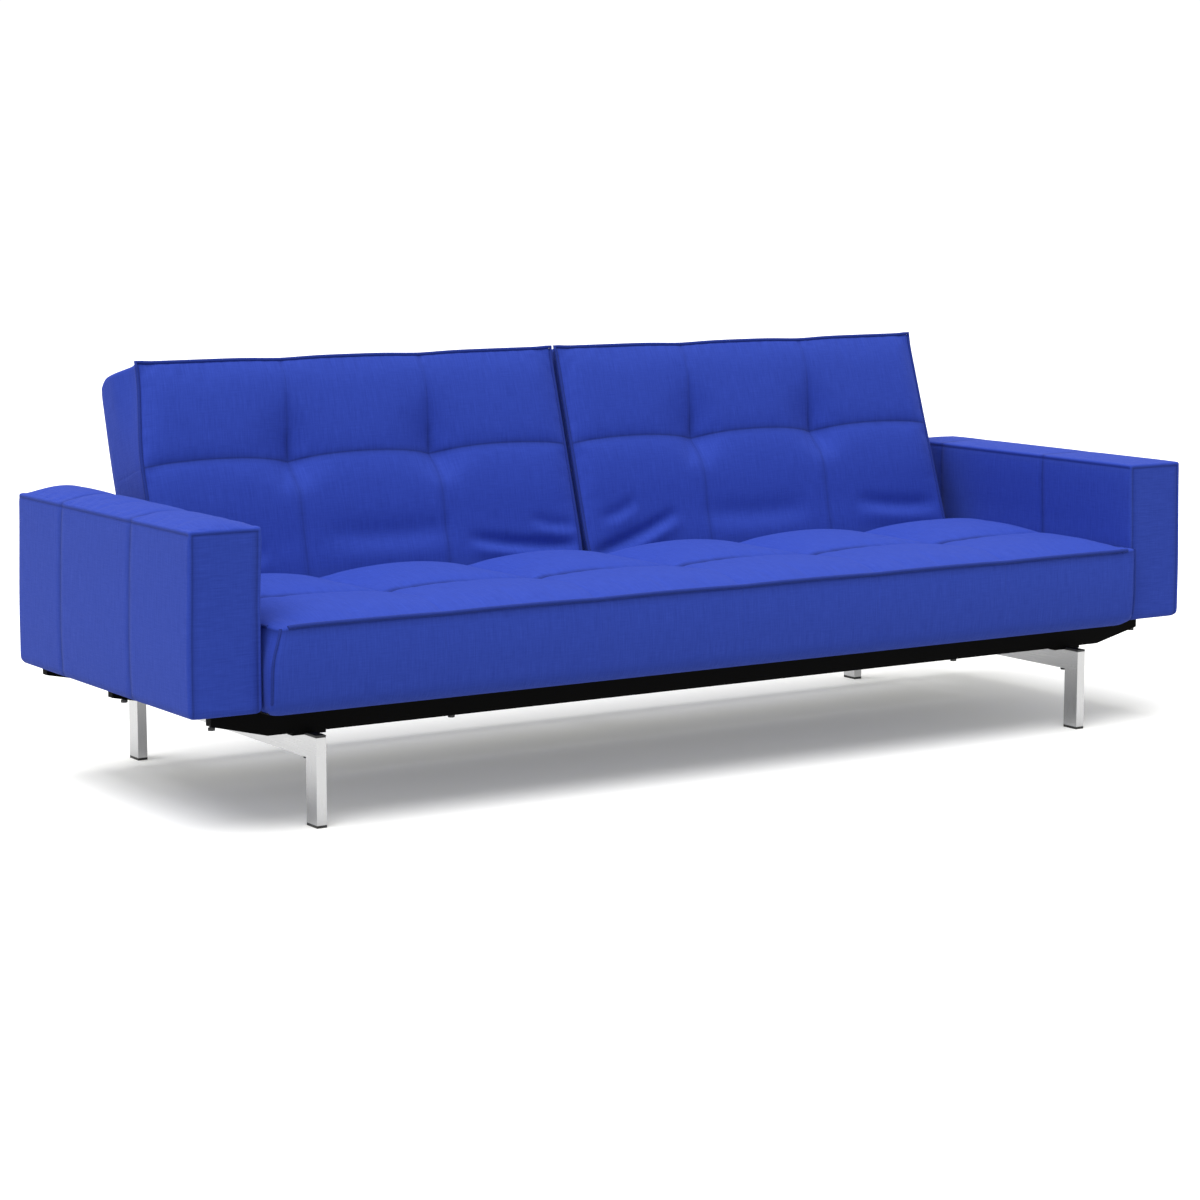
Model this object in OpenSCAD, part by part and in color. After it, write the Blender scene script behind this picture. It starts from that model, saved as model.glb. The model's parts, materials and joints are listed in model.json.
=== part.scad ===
// Sofa bed with a split back: two backs fold flat one by one, on ratchet hinges, behind one wide seat.
// The frame stands on +Z up, with its front towards -Y. "Left" is the -X side, as seen from the front.

/* [Overall] */
// Width over both arms
overall_w = 2320; // [2000:10:2600]
// Depth from the seat's piped front edge to the back of the rear legs
overall_d = 838; // [800:2:900]

/* [Seat] */
// Depth of the seat in front of the back, measured at the top edge
seat_depth = 560; // [530:5:600]
// Height of the seat's padded crown over its top edge
seat_crown = 13; // [5:1:25]
// Free gap from the seat cushion to each arm
arm_gap = 5; // [4:0.5:12]
// Free gap from the seat's rear face to the back, square to the back
seat_back_gap = 15; // [14:1:30]

/* [Backs] */
// Thickness of each back
back_t = 155; // [140:1:175]
// Length of each back above its hinge
back_len = 513; // [440:1:580]
// Length of each back below its hinge
back_tail = 80; // [70:1:88]
// Lean of the back from upright, when it is set for sitting
lean = 17; // [12:0.5:22]
// Depth of the hinge axis below the back's front face
hinge_depth = 105; // [98:1:112]
// Free gap between the two backs
back_split = 24; // [24:1:40]
// Free gap from each back to its arm
back_side_gap = 57; // [54:1:90]

/* [Arms] */
// Width of each arm
arm_w = 138; // [110:1:180]
// Depth of each arm
arm_d = 756; // [650:2:800]
// Height of each arm's box
arm_h = 332; // [280:1:400]
// Distance of the arm's front behind the seat's front
arm_setback = 21; // [0:1:60]

/* [Rails] */
// Height of a rail
rail_h = 44; // [36:1:50]
// Thickness of a rail, front to back
rail_t = 20; // [16:1:24]
// Distance of the front rail behind the seat's front
front_rail_setback = 77; // [60:1:110]
// Distance of the rear rail's rear face in front of the rear legs' rear face
rear_rail_setback = 59; // [56:1:70]
// Length of the front rail's slanted wedge under each arm
front_wedge_l = 112; // [100:1:135]
// Length of the other rails' slanted wedges under each arm
rear_wedge_l = 134; // [100:1:135]
// Height that the wedge's underside rises by, end to end
wedge_rise = 27; // [15:1:30]
// Thickness of the packer under each arm
arm_packer = 8; // [4:1:12]
// Height of the rubber pads on the rear rail, which the folded backs lie on
rest_pad_t = 15.5; // [10:0.5:25]

/* [Legs] */
// Height of a leg tube's top over the floor
leg_h = 165; // [140:1:180]
// Width of a leg tube, side to side
leg_w = 20; // [18:1:26]
// Depth of a leg tube, front to back
leg_d = 40; // [30:1:45]
// Wall of a leg tube
leg_wall = 2; // [1.5:0.5:3]
// Distance of the front post behind the seat's front
leg_setback = 32; // [20:1:34]
// Distance of a leg's middle from the arm's outer face
leg_inset = 258; // [220:1:320]
// Thickness of the floor glide under a post
glide_t = 5; // [4:1:8]
// Thickness of the cap on a post's open top
cap_t = 4.5; // [3:0.5:5]
// Thickness of the mounting plate between leg and rail
leg_plate_t = 5; // [5:1:8]

/* [Padding] */
// Thickness of a fabric cover with its wadding
cover_t = 4; // [3:0.5:5]
// Radius of the piping
piping_r = 3.5; // [2.5:0.5:3.5]
// Thickness of the arm's foam
arm_foam_t = 14; // [8:1:20]
// Thickness of the arm's boards
board_t = 15; // [10:1:18]

/* [Frames] */
// Side of the square tube in the seat and back frames
tube = 25; // [20:1:25]
// Wall of that tube
tube_wall = 1.5; // [1:0.5:2.5]
// Thickness of a bent slat
slat_t = 6; // [4:1:8]
// Width of a bent slat
slat_w = 55; // [40:1:60]
// Number of slats across the seat
seat_slats_n = 14; // [8:2:18]
// Number of slats in each back
back_slats_n = 5; // [3:1:6]

/* [Hinges] */
// Thickness of a hinge plate
plate_t = 5; // [4:0.5:5]
// Radius of the pivot pin
pivot_r = 7; // [6:0.5:8]
// Radius of the eye round the pivot
eye_r = 27; // [25:1:28]
// Radial running clearance of a pin in its bore
run_clear = 0.05; // [0.02:0.01:0.1]
// Radius of the ratchet disc
ratchet_r = 30; // [28:1:31]
// Radius of a bolt's shank
bolt_r = 4; // [3:0.5:4]
// Backward turn from sitting to lounging
lounge_turn = 35; // [25:1:45]

/* [Hidden] */
$fn = 32;

// Colours
BLUE = [0.16, 0.22, 0.75];
BLACK = [0.08, 0.08, 0.09];
CHROME = [0.82, 0.82, 0.84];
STEEL = [0.5, 0.5, 0.53];
BEECH = [0.8, 0.66, 0.45];
FOAM = [0.93, 0.9, 0.8];

// Clearances
fit = 0.5;      // between parts that are screwed or pushed together
loose = 1;      // between a cover's inside and what it holds
hole_over = 0.4; // radius of a bolt's hole over its shank
cut = 1;        // how far a cutting shape runs past the face it cuts

// Where things stand, front to back and upwards
front_y = piping_r - overall_d / 2;
rear_y = overall_d / 2;
rail_z = leg_h + leg_plate_t;
rail_top = rail_z + rail_h;
fold_turn = 90 - lean;
// The sleeping surface, which is also the seat's top edge, is where the front of a folded back lies
sleep_z = rail_top + rest_pad_t + fit + back_t;
hinge_y = front_y + seat_depth + hinge_depth * (1 - sin(lean)) / cos(lean);
hinge_z = sleep_z - hinge_depth;
seat_half = overall_w / 2 - arm_w - arm_gap;
back_in = back_split / 2;
back_out = overall_w / 2 - arm_w - back_side_gap;
leg_x = overall_w / 2 - leg_inset;
leg_front = front_y + leg_setback;

// The seat's rear face leans as the back does
seat_rear_off = (hinge_depth + seat_back_gap) / cos(lean);
function seat_rear_y(z) = hinge_y - seat_rear_off + (z - hinge_z) * tan(lean);

// Rails
front_rail_y = front_y + front_rail_setback;
rear_rail_y = rear_y - rear_rail_setback - rail_t;
middle_rail_y = seat_rear_y(rail_top) - 45;
rail_ys = [front_rail_y, middle_rail_y, rear_rail_y];
wedge_ls = [front_wedge_l, rear_wedge_l, rear_wedge_l];
rail_wall = 2;
rail_half = seat_half - 32;
bearer_w = 20;
bearer_x = back_out + 30;

// Hinge layers, outwards from the back's side
arm_plate_x = back_out + 2;
plate_x = bearer_x - plate_t;
ratchet_t = 6;
nut_t = 9;
inner_arm_t = 4;
centre_plate_t = 6;
inner_arm_x = centre_plate_t / 2 + 1.5;

// Back profile, lying flat, with the hinge axis at the origin
back_front = hinge_depth;
back_rear = hinge_depth - back_t;
tail_round = 38;
frame_v = back_rear + 9.5;

// The pawl's stud, on the lying back, and its nose
pawl_stud = [40, -28];
stud_r = 4;
pawl_gap = 1.2;

bolt_head_r = 6.5;
bolt_head_t = 5;
slat_gap = (2 * (seat_half - cover_t) - 2 * tube) / seat_slats_n;
seat_tube_z = rail_top + cover_t + fit;

// ---------- Shapes that repeat ----------

function unit(v) = v / norm(v);

// The arc of radius r that rounds the corner b of the path a-b-c
function corner(a, b, c, r, n) =
  r <= 0 ? [b] :
  let (
    u = unit(a - b),
    v = unit(c - b),
    half = acos(max(-1, min(1, u * v))) / 2,
    m = b + unit(u + v) * r / sin(half),
    s = b + u * r / tan(half) - m,
    e = b + v * r / tan(half) - m,
    from = atan2(s.y, s.x),
    raw = atan2(e.y, e.x) - from,
    sweep = raw > 180 ? raw - 360 : raw < -180 ? raw + 360 : raw
  )
  [for (i = [0:n]) m + r * [cos(from + sweep * i / n), sin(from + sweep * i / n)]];

// A polygon whose corners are given as [x, y, radius]
function rounded(p, n = 6) =
  [for (i = [0:len(p) - 1])
    let (a = p[(i + len(p) - 1) % len(p)], b = p[i], c = p[(i + 1) % len(p)])
    each corner([a.x, a.y], [b.x, b.y], [c.x, c.y], b.z, n)];

// Draws a YZ outline, and runs it along X from x0 to x1
module along_x(x0, x1) {
  translate([x0, 0, 0]) rotate([90, 0, 90]) linear_extrude(x1 - x0) children();
}

// Draws an XZ outline, and runs it along Y from y0 to y1
module along_y(y0, y1) {
  translate([0, y1, 0]) rotate([90, 0, 0]) linear_extrude(y1 - y0) children();
}

// A block between two corners
module block(a, b) {
  translate(a) cube(b - a);
}

// A hollow block between two corners, open at both ends along one axis (0, 1 or 2)
module box_tube(a, b, wall, axis) {
  way = [for (i = [0:2]) i == axis ? 1 : 0];
  inset = [wall, wall, wall] - way * (wall + cut);
  difference() {
    block(a, b);
    block(a + inset, b - inset);
  }
}

// A round bar along X
module bar_x(x0, x1, r, y = 0, z = 0) {
  translate([x0, y, z]) rotate([0, 90, 0]) cylinder(h = x1 - x0, r = r);
}

// A round bar along Z
module bar_z(p, z0, z1, r) {
  translate([p.x, p.y, z0]) cylinder(h = z1 - z0, r = r);
}

// Children on the left side (-1) or the right side (1)
module side(s) {
  mirror([s < 0 ? 1 : 0, 0, 0]) children();
}

// Children drawn on the lying back, set to the sitting pose
module on_back() {
  translate([0, hinge_y, hinge_z]) rotate([fold_turn, 0, 0]) children();
}

// ---------- Rails and bearers ----------

// A rail across the base; the seat is bolted down through it where seat_on is true
module rail(y, seat_on) {
  color(BLACK) difference() {
    box_tube([-rail_half, y, rail_z], [rail_half, y + rail_t, rail_top], rail_wall, 0);
    for (x = [-leg_x, leg_x])
      bar_z([x, y + rail_t / 2], rail_z - cut, rail_z + rail_wall + cut, bolt_r + hole_over);
    if (seat_on) for (x = seat_bolt_xs)
      bar_z([x, y + rail_t / 2], rail_z - cut, rail_top + cut, bolt_r + hole_over);
  }
}

// The three slanted ends that reach out under one arm
module rail_wedges(s) {
  inner = seat_half + arm_gap + 2;
  color(BLACK) side(s) for (i = [0:2]) let (y = rail_ys[i], outer = rail_half + wedge_ls[i])
    difference() {
      along_y(y, y + rail_t)
        polygon([[rail_half, rail_z], [outer, rail_z + wedge_rise], [outer, arm_z],
          [inner, arm_z], [inner, rail_top], [rail_half, rail_top]]);
      if (i < arm_bolts_n) bar_z(arm_bolt_at(i), rail_z, arm_z + cut, bolt_r + hole_over);
    }
}

function arm_bolt_at(i) = [arm_bolt_x, rail_ys[i] + rail_t / 2];

// The lowest height of a wedge's underside over an arm bolt's head
function under_wedge(i) = rail_z + wedge_rise * (arm_bolt_x - bolt_head_r - rail_half) / wedge_ls[i];

module end_bearer(s) {
  color(BLACK) side(s) difference() {
    box_tube([bearer_x, middle_rail_y + rail_t, rail_z], [bearer_x + bearer_w, rear_rail_y, rail_top],
      rail_wall, 1);
    for (y = plate_bolt_ys)
      bar_x(bearer_x - cut, bearer_x + bearer_w + cut, bolt_r + hole_over, y, plate_bolt_z);
  }
}

module centre_bearer() {
  color(BLACK) difference() {
    box_tube([-bearer_w / 2, middle_rail_y + rail_t, rail_z], [bearer_w / 2, rear_rail_y, rail_top],
      rail_wall, 1);
    for (y = plate_bolt_ys) bar_z([0, y], rail_z - cut, rail_top + cut, bolt_r + hole_over);
  }
}

// ---------- Legs ----------

post_ys = [leg_front, rear_y - leg_d];

module leg_bar(s) {
  color(CHROME) side(s) difference() {
    box_tube([leg_x - leg_w / 2, leg_front + leg_d, leg_h - leg_d],
      [leg_x + leg_w / 2, rear_y - leg_d, leg_h], leg_wall, 1);
    for (y = rail_ys)
      bar_z([leg_x, y + rail_t / 2], leg_h - leg_d - cut, leg_h + cut, bolt_r + hole_over);
  }
}

module leg_post(s, y) {
  color(CHROME) side(s)
  box_tube([leg_x - leg_w / 2, y, glide_t], [leg_x + leg_w / 2, y + leg_d, leg_h], leg_wall, 2);
}

// A flat plug with a stem that fits inside the tube; up is 1 for a cap and -1 for a glide
module tube_plug(x, y, z, t, up) {
  stem = 12;
  edge = leg_wall + fit / 5;
  block([x - leg_w / 2, y, up > 0 ? z : z - t], [x + leg_w / 2, y + leg_d, up > 0 ? z + t : z]);
  block([x - leg_w / 2 + edge, y + edge, up > 0 ? z - stem : z],
    [x + leg_w / 2 - edge, y + leg_d - edge, up > 0 ? z : z + stem]);
}

module leg_top_caps() {
  color(BLACK) for (s = [-1, 1], y = post_ys) tube_plug(s * leg_x, y, leg_h, cap_t, 1);
}

module leg_glides() {
  color(BLACK) for (s = [-1, 1], y = post_ys) tube_plug(s * leg_x, y, glide_t, glide_t, -1);
}

// The steel pads between a leg's bar and the rails
module leg_mounting_plates() {
  pad = 34;
  color(BLACK) for (s = [-1, 1], y = rail_ys) difference() {
    block([s * leg_x - pad, y, leg_h], [s * leg_x + pad, y + rail_t, rail_z]);
    bar_z([s * leg_x, y + rail_t / 2], leg_h - cut, rail_z + cut, bolt_r + hole_over);
  }
}

module bolt_up(p, z0, z1) {
  bar_z(p, z0, z1, bolt_r);
  bar_z(p, z0 - bolt_head_t, z0, bolt_head_r);
}

module leg_bolts() {
  color(STEEL) for (s = [-1, 1], y = rail_ys)
    bolt_up([s * leg_x, y + rail_t / 2], leg_h - leg_d, rail_z + rail_wall);
}

// ---------- Seat ----------

// The seat's outline from the side, drawn in by a margin
function seat_outline(m) = let (
    low = rail_top + m,
    high = sleep_z + seat_crown - m,
    back = m / cos(lean)
  )
  rounded([
    [front_y + m, low, 22 - m],
    [seat_rear_y(low) - back, low, 14 - m],
    [seat_rear_y(sleep_z - m) - back, sleep_z - m, 10 - m / 2],
    [seat_rear_y(sleep_z) - 22 - m, high, 12 - m / 2],
    [front_y + 30 + m, high, 25],
    [front_y + m, sleep_z - m / 2, 0]]);

seat_bolt_xs = [-1, 1] * (seat_half * 0.59);
seat_bolt_ys = [front_rail_y + rail_t / 2, middle_rail_y + rail_t / 2];

module seat_cover() {
  color(BLUE) difference() {
    along_x(-seat_half, seat_half) polygon(seat_outline(0));
    along_x(-seat_half + cover_t, seat_half - cover_t) polygon(seat_outline(cover_t));
    seat_piping_run(piping_r + fit / 2);
    for (x = seat_bolt_xs, y = seat_bolt_ys)
      bar_z([x, y], rail_top - cut, rail_top + cover_t + cut, bolt_r + hole_over);
  }
}

// The piping's line: along the front's top edge, and back along both sides
module seat_piping_run(r) {
  end_y = seat_rear_y(sleep_z) - 60;
  bar_x(-seat_half, seat_half, r, front_y, sleep_z);
  for (x = [-seat_half, seat_half]) {
    translate([x, front_y, sleep_z]) sphere(r = r);
    translate([x, front_y, sleep_z]) rotate([-90, 0, 0]) cylinder(h = end_y - front_y, r = r);
  }
}

module seat_piping() {
  color(BLUE) seat_piping_run(piping_r);
}

// The padding over the slats, with room left for the frame below it
module seat_core() {
  m = cover_t + loose;
  floor_z = seat_tube_z + tube + slat_t + fit;
  color(FOAM) intersection() {
    along_x(-seat_half + m + 2, seat_half - m - 2) polygon(seat_outline(m + 2));
    block([-seat_half, front_y, floor_z], [seat_half, rear_y, sleep_z + seat_crown]);
  }
}

seat_frame_x = seat_half - cover_t - loose;
seat_frame_y0 = front_y + 24;
seat_frame_y1 = seat_rear_y(seat_tube_z) - 18;

module seat_frame() {
  z1 = seat_tube_z + tube;
  color(STEEL) difference() {
    union() {
      for (y = [seat_frame_y0, seat_frame_y1 - tube])
        box_tube([-seat_frame_x, y, seat_tube_z], [seat_frame_x, y + tube, z1], tube_wall, 0);
      for (x = concat([0], seat_bolt_xs, [-1, 1] * (seat_frame_x - tube / 2)))
        box_tube([x - tube / 2, seat_frame_y0 + tube, seat_tube_z],
          [x + tube / 2, seat_frame_y1 - tube, z1], tube_wall, 1);
    }
    for (x = seat_bolt_xs, y = seat_bolt_ys)
      bar_z([x, y], seat_tube_z - cut, z1 - tube_wall, bolt_r + hole_over);
  }
}

module seat_slats() {
  z = seat_tube_z + tube;
  color(BEECH) for (i = [0:seat_slats_n - 1])
    let (x = (i - (seat_slats_n - 1) / 2) * slat_gap)
    block([x - slat_w / 2, seat_frame_y0 + 2, z], [x + slat_w / 2, seat_frame_y1 - 2, z + slat_t]);
}

// Bolts up through the rails into the seat's frame, and up through the wedges into the arms' boards
module seat_and_arm_bolts() {
  color(STEEL) {
    for (x = seat_bolt_xs, y = seat_bolt_ys) bolt_up([x, y], rail_z, seat_tube_z + tube - tube_wall);
    for (s = [-1, 1], i = [0:arm_bolts_n - 1]) side(s)
      bolt_up(arm_bolt_at(i), under_wedge(i), arm_board_top);
  }
}

// ---------- Backs ----------

// The back's outline from the side, lying flat, drawn in by a margin
function back_outline(m) = rounded([
    [-back_tail + m, back_rear + m, 26 - m],
    [back_len - m, back_rear + m, 50 - m],
    [back_len - m, back_front - m, 0],
    [-back_tail + m, back_front - m, tail_round - m]]);

module back_cover(s) {
  color(BLUE) side(s) on_back() difference() {
    along_x(back_in, back_out) polygon(back_outline(0));
    along_x(back_in + cover_t, back_out - cover_t) polygon(back_outline(cover_t));
    back_piping_run(piping_r + fit / 2);
    for (u = arm_bolt_us) bar_x(back_in - cut, back_out + cut, bolt_r + hole_over, u, arm_bolt_v);
  }
}

module back_piping_run(r) {
  tail = -back_tail + tail_round;
  bar_x(back_in, back_out, r, back_len, back_front);
  for (x = [back_in, back_out]) {
    translate([x, back_len, back_front]) sphere(r = r);
    translate([x, back_len, back_front]) rotate([90, 0, 0]) cylinder(h = back_len - tail, r = r);
  }
}

module back_piping(s) {
  color(BLUE) side(s) on_back() back_piping_run(piping_r);
}

back_x0 = back_in + cover_t + loose;
back_x1 = back_out - cover_t - loose;
back_u0 = -back_tail + 26;
back_u1 = back_len - 42;
arm_bolt_us = [92, 150];
arm_bolt_v = frame_v + tube / 2;

module back_frame(s) {
  v0 = frame_v;
  v1 = frame_v + tube;
  color(STEEL) side(s) on_back() difference() {
    union() {
      for (x = [back_x0, back_x1 - tube])
        box_tube([x, back_u0, v0], [x + tube, back_u1, v1], tube_wall, 1);
      for (u = [back_u0 + 20, (back_u0 + back_u1) / 2, back_u1 - tube])
        box_tube([back_x0 + tube, u, v0], [back_x1 - tube, u + tube, v1], tube_wall, 0);
    }
    for (u = arm_bolt_us) bar_x(back_x0 - cut, back_x1 + cut, bolt_r + hole_over, u, (v0 + v1) / 2);
  }
}

module back_slats(s) {
  v = frame_v + tube;
  pitch = (back_u1 - back_u0 - slat_w - 20) / (back_slats_n - 1);
  color(BEECH) side(s) on_back() for (i = [0:back_slats_n - 1])
    block([back_x0 + 2, back_u0 + 10 + i * pitch, v],
      [back_x1 - 2, back_u0 + 10 + i * pitch + slat_w, v + slat_t]);
}

module back_core(s) {
  m = cover_t + loose + 1;
  color(FOAM) side(s) on_back() intersection() {
    along_x(back_in + m, back_out - m) polygon(back_outline(m));
    block([back_in, -back_tail, frame_v + tube + slat_t + fit], [back_out, back_len, back_front]);
  }
}

// ---------- Hinges ----------

plate_y0 = hinge_y - 62;
plate_y1 = min(hinge_y + 96, rear_rail_y - 6);
plate_bolt_ys = [plate_y0 + 16, plate_y1 - 16];
plate_bolt_z = (rail_z + rail_top) / 2;
plate_foot_t = 4;
bolt_end = 6; // room over a bolt's end in a hole

// The upright plate's outline, from a straight foot to the eye round the pivot
function plate_outline(foot_z) = rounded([
    [plate_y0, foot_z, 4],
    [plate_y1, foot_z, 4],
    [plate_y1, foot_z + 30, 12],
    [hinge_y + eye_r, hinge_z + eye_r, eye_r - 1],
    [hinge_y - eye_r, hinge_z + eye_r, eye_r - 1],
    [plate_y0, foot_z + 30, 12]]);

module hinge_plate(s) {
  color(BLACK) side(s) difference() {
    along_x(plate_x, plate_x + plate_t) polygon(plate_outline(rail_z + 4));
    bar_x(plate_x - cut, plate_x + plate_t + cut, pivot_r + run_clear, hinge_y, hinge_z);
    for (y = plate_bolt_ys)
      bar_x(plate_x - cut, plate_x + plate_t + cut, bolt_r + hole_over, y, plate_bolt_z);
  }
}

module centre_hinge_plate() {
  half = centre_plate_t / 2;
  color(BLACK) difference() {
    union() {
      along_x(-half, half) polygon(plate_outline(rail_top));
      block([-bearer_w / 2, plate_y0, rail_top], [bearer_w / 2, plate_y1, rail_top + plate_foot_t]);
    }
    bar_x(-half - cut, half + cut, pivot_r, hinge_y, hinge_z);
    for (y = plate_bolt_ys)
      bar_z([0, y], rail_top - cut, rail_top + plate_foot_t + bolt_end, bolt_r + hole_over);
  }
}

module hinge_plate_bolts() {
  color(STEEL) {
    for (s = [-1, 1]) side(s) for (y = plate_bolt_ys) {
      bar_x(plate_x, bearer_x + bearer_w, bolt_r, y, plate_bolt_z);
      bar_x(bearer_x + bearer_w, bearer_x + bearer_w + bolt_head_t, bolt_head_r, y, plate_bolt_z);
    }
    for (y = plate_bolt_ys) bolt_up([0, y], rail_z, rail_top + plate_foot_t);
  }
}

// The notched disc on the fixed plate: the notches hold the back for sitting, lounging and lying
module ratchet(s) {
  notch = 5;
  color(STEEL) side(s) difference() {
    bar_x(plate_x - ratchet_t, plate_x, ratchet_r, hinge_y, hinge_z);
    bar_x(plate_x - ratchet_t - cut, plate_x + cut, pivot_r + run_clear, hinge_y, hinge_z);
    for (a = [fold_turn, fold_turn - lounge_turn, 0])
      translate([0, hinge_y, hinge_z]) rotate([a, 0, 0])
        along_x(plate_x - ratchet_t - cut, plate_x + cut)
          polygon([[ratchet_r - notch, 0], [ratchet_r + cut, notch * 0.9], [ratchet_r + cut, -notch * 0.5]]);
  }
}

// The hinge arm's outline on the lying back
arm_outline = rounded([
    [-eye_r, -eye_r, eye_r - 2],
    [30, arm_bolt_v - 17, 8],
    [176, arm_bolt_v - 17, 8],
    [176, arm_bolt_v + 18, 8],
    [70, arm_bolt_v + 18, 8],
    [eye_r, eye_r, eye_r - 8],
    [-eye_r, eye_r, eye_r - 2]]);

module outer_hinge_arm(s) {
  color(BLACK) side(s) on_back() {
    difference() {
      along_x(arm_plate_x, arm_plate_x + plate_t) polygon(arm_outline);
      for (u = arm_bolt_us)
        bar_x(arm_plate_x - cut, arm_plate_x + plate_t + cut, bolt_r, u, arm_bolt_v);
    }
    bar_x(arm_plate_x + plate_t, plate_x + plate_t + nut_t + 4, pivot_r);
    bar_x(arm_plate_x + plate_t, plate_x - 0.5, stud_r, pawl_stud.x, pawl_stud.y);
  }
}

module inner_hinge_arm(s) {
  color(BLACK) side(s) on_back() difference() {
    along_x(inner_arm_x, inner_arm_x + inner_arm_t) polygon(arm_outline);
    bar_x(inner_arm_x - cut, inner_arm_x + inner_arm_t + cut, pivot_r + run_clear);
    for (u = arm_bolt_us)
      bar_x(inner_arm_x - cut, inner_arm_x + inner_arm_t + cut, bolt_r, u, arm_bolt_v);
  }
}

// Bolts from inside the frame's side tubes out into the hinge arms
module hinge_arm_bolts(s) {
  v = arm_bolt_v;
  color(STEEL) side(s) on_back() for (u = arm_bolt_us) {
    bar_x(back_x1 - tube, arm_plate_x + plate_t, bolt_r, u, v);
    bar_x(back_x1 - tube - bolt_head_t, back_x1 - tube, bolt_head_r, u, v);
    bar_x(inner_arm_x, back_x0 + tube, bolt_r, u, v);
    bar_x(back_x0 + tube, back_x0 + tube + bolt_head_t, bolt_head_r, u, v);
  }
}

module pivot_nut(s) {
  x = plate_x + plate_t + 1;
  color(STEEL) side(s) on_back() difference() {
    translate([x, 0, 0]) rotate([0, 90, 0]) cylinder(h = nut_t, r = 12.5, $fn = 6);
    bar_x(x - cut, x + nut_t + cut, pivot_r);
  }
}

module centre_pivot_pin() {
  reach = inner_arm_x + inner_arm_t + 1.5;
  color(STEEL) bar_x(-reach, reach, pivot_r, hinge_y, hinge_z);
}

// The pawl: an eye on the stud, a nose towards the ratchet, and a short tail
module pawl(s) {
  tip = ratchet_r + pawl_gap;
  x0 = plate_x - ratchet_t + 0.5;
  x1 = plate_x - 1;
  color(STEEL) side(s) on_back() difference() {
    union() {
      bar_x(x0, x1, 9, pawl_stud.x, pawl_stud.y);
      along_x(x0, x1)
        polygon([[tip, 0.6], [tip + 3, 4], [tip + 12, 0], [pawl_stud.x + 9, pawl_stud.y],
          [pawl_stud.x - 2, pawl_stud.y - 9], [pawl_stud.x - 7, pawl_stud.y + 5], [tip, -1.2]]);
    }
    bar_x(x0 - cut, x1 + cut, stud_r + run_clear, pawl_stud.x, pawl_stud.y);
  }
}

// A torsion spring of three close turns round the pawl's stud
module pawl_spring(s) {
  wire = 1.5;
  turns = 3;
  x0 = arm_plate_x + plate_t + wire;
  color(STEEL) side(s) on_back() {
    for (i = [0:turns - 1])
      translate([x0 + i * wire * 1.7, pawl_stud.x, pawl_stud.y]) rotate([0, 90, 0])
        rotate_extrude() translate([stud_r + wire + 0.3, 0]) circle(r = wire, $fn = 16);
  }
}

// Rubber pads on the rear rail, which the backs lie on when they are flat
module back_rest_pads() {
  color(BLACK) for (s = [-1, 1], x = [back_in + 120, back_out - 120])
    side(s) block([x - 30, rear_rail_y + 2, rail_top], [x + 30, rear_rail_y + rail_t - 2, rail_top + rest_pad_t]);
}

// ---------- Arms ----------

arm_z = rail_top + arm_packer;
arm_y = front_y + arm_setback;
// Each arm is bolted to the front and middle wedges, and rests on the rear one
arm_bolts_n = 2;
arm_bolt_x = overall_w / 2 - arm_w / 2;
arm_board_top = arm_z + cover_t + arm_foam_t + 2 * fit + board_t;

// The arm's outline from the front, drawn in by a margin
function arm_front_outline(m) = let (
    x0 = overall_w / 2 - arm_w + m,
    x1 = overall_w / 2 - m,
    z0 = arm_z + m,
    z1 = arm_z + arm_h - m
  )
  rounded([[x0, z0, 12 - m / 3], [x1, z0, 22 - m / 3], [x1, z1, 4], [x0, z1, 4]]);

// A shell of one thickness, a margin inside the arm's box, bored for the bolts that hold the arm
module arm_shell(m, t) {
  difference() {
    along_y(arm_y + m, arm_y + arm_d - m) polygon(arm_front_outline(m));
    along_y(arm_y + m + t, arm_y + arm_d - m - t) polygon(arm_front_outline(m + t));
    for (i = [0:arm_bolts_n - 1])
      bar_z(arm_bolt_at(i), arm_z + m - cut, arm_z + m + t + cut, bolt_r + hole_over);
  }
}

module arm_cover(s) {
  color(BLUE) side(s) arm_shell(0, cover_t);
}

module arm_foam(s) {
  color(FOAM) side(s) arm_shell(cover_t + fit, arm_foam_t);
}

module arm_frame(s) {
  color(BEECH) side(s) arm_shell(cover_t + arm_foam_t + 2 * fit, board_t);
}

// ---------- What is drawn ----------

rail(front_rail_y, true);  // front_rail
rail(middle_rail_y, true);  // middle_rail
rail(rear_rail_y, false);  // rear_rail
rail_wedges(-1);  // left_rail_wedges
rail_wedges(1);  // right_rail_wedges
end_bearer(-1);  // left_bearer
end_bearer(1);  // right_bearer
centre_bearer();
leg_bar(-1);  // left_leg_bar
leg_post(-1, post_ys[0]);  // left_front_post
leg_post(-1, post_ys[1]);  // left_rear_post
leg_bar(1);  // right_leg_bar
leg_post(1, post_ys[0]);  // right_front_post
leg_post(1, post_ys[1]);  // right_rear_post
leg_top_caps();
leg_glides();
leg_mounting_plates();
leg_bolts();
seat_frame();
seat_slats();
seat_core();
seat_cover();
seat_piping();
seat_and_arm_bolts();
back_frame(-1);  // left_back_frame
back_slats(-1);  // left_back_slats
back_core(-1);  // left_back_core
back_cover(-1);  // left_back_cover
back_piping(-1);  // left_back_piping
back_frame(1);  // right_back_frame
back_slats(1);  // right_back_slats
back_core(1);  // right_back_core
back_cover(1);  // right_back_cover
back_piping(1);  // right_back_piping
hinge_plate(-1);  // left_hinge_plate
centre_hinge_plate();
hinge_plate(1);  // right_hinge_plate
hinge_plate_bolts();
ratchet(-1);  // left_ratchet
ratchet(1);  // right_ratchet
outer_hinge_arm(-1);  // left_outer_hinge_arm
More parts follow.
